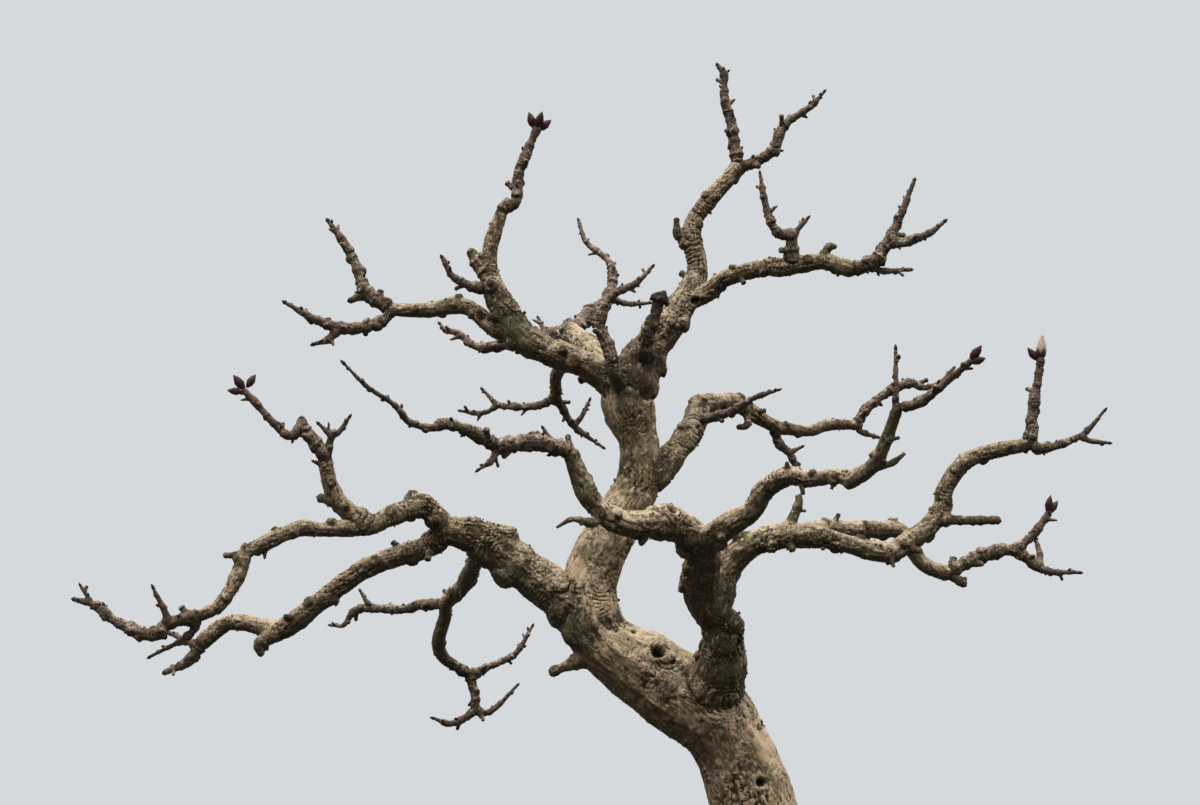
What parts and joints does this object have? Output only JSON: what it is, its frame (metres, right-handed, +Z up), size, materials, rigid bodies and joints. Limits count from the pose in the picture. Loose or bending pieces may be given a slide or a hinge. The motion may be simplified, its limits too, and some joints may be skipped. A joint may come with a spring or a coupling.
{
  "type": "bare dwarf tree",
  "caption": "Bare dwarf tree in winter: a leaning trunk with root flare, gnarled forking boughs, blunt spurs and dark buds, fixed at the flat cut under its trunk.",
  "frame": {"origin": "centre of the flat cut under the trunk, at ground level", "axes": "+Z up, +X to the right and +Y away from the viewer as the picture shows the tree"},
  "size_m": [0.4857, 0.3139, 0.5175],
  "materials": {
    "trunk_bark": "cracked and flaking matt bark, warm grey-brown",
    "bough_bark": "ringed and pitted matt bark with pale grey and olive lichen",
    "dead_wood": "weathered near-black broken stub",
    "twig_bark": "ringed brown young bark, reddish at the tips, with dark scaly buds"
  },
  "bodies": {
    "root": {"trunk": "trunk_bark", "bough_left": "bough_bark", "bough_left_upper": "bough_bark", "bough_left_outer": "bough_bark", "bough_left_lower": "bough_bark", "bough_left_low_end": "bough_bark", "bough_rising": "bough_bark", "bough_under": "bough_bark", "bough_hanging": "bough_bark", "bough_front": "bough_bark", "bough_front_left": "bough_bark", "bough_front_right": "bough_bark", "bough_front_right_outer": "bough_bark", "bough_right_low": "bough_bark", "bough_right_outer": "bough_bark", "bough_right_behind": "bough_bark", "bough_right": "bough_bark", "bough_right_back": "bough_bark", "bough_top_left": "bough_bark", "bough_top_left_outer": "bough_bark", "bough_top_left_side": "bough_bark", "bough_top_right": "bough_bark", "bough_top_right_upper": "bough_bark", "bough_top_right_side": "bough_bark", "dead_stub": "dead_wood", "bough_back": "bough_bark", "bough_back_low": "bough_bark", "twigs_far_left": "twig_bark", "twigs_low_left": "twig_bark", "twigs_rising": "twig_bark", "twigs_rising_right": "twig_bark", "twigs_under_left": "twig_bark", "twigs_hanging": "twig_bark", "twigs_front_left": "twig_bark", "twigs_front_right": "twig_bark", "twigs_front_right_up": "twig_bark", "twigs_right_front": "twig_bark", "twigs_right_end": "twig_bark", "twigs_right_up": "twig_bark", "twigs_right_behind": "twig_bark", "twigs_right_back": "twig_bark", "twigs_right_down": "twig_bark", "twigs_top_left": "twig_bark", "twigs_top_left_spur": "twig_bark", "twigs_side_up": "twig_bark", "twigs_side_down": "twig_bark", "twigs_top": "twig_bark", "twigs_top_right": "twig_bark", "twigs_side_right": "twig_bark", "twigs_side_middle": "twig_bark", "twigs_fork": "twig_bark", "twigs_back_top": "twig_bark", "twigs_back_left": "twig_bark", "twigs_back_low_left": "twig_bark", "twigs_back_low_right": "twig_bark"}
  },
  "joints": []
}
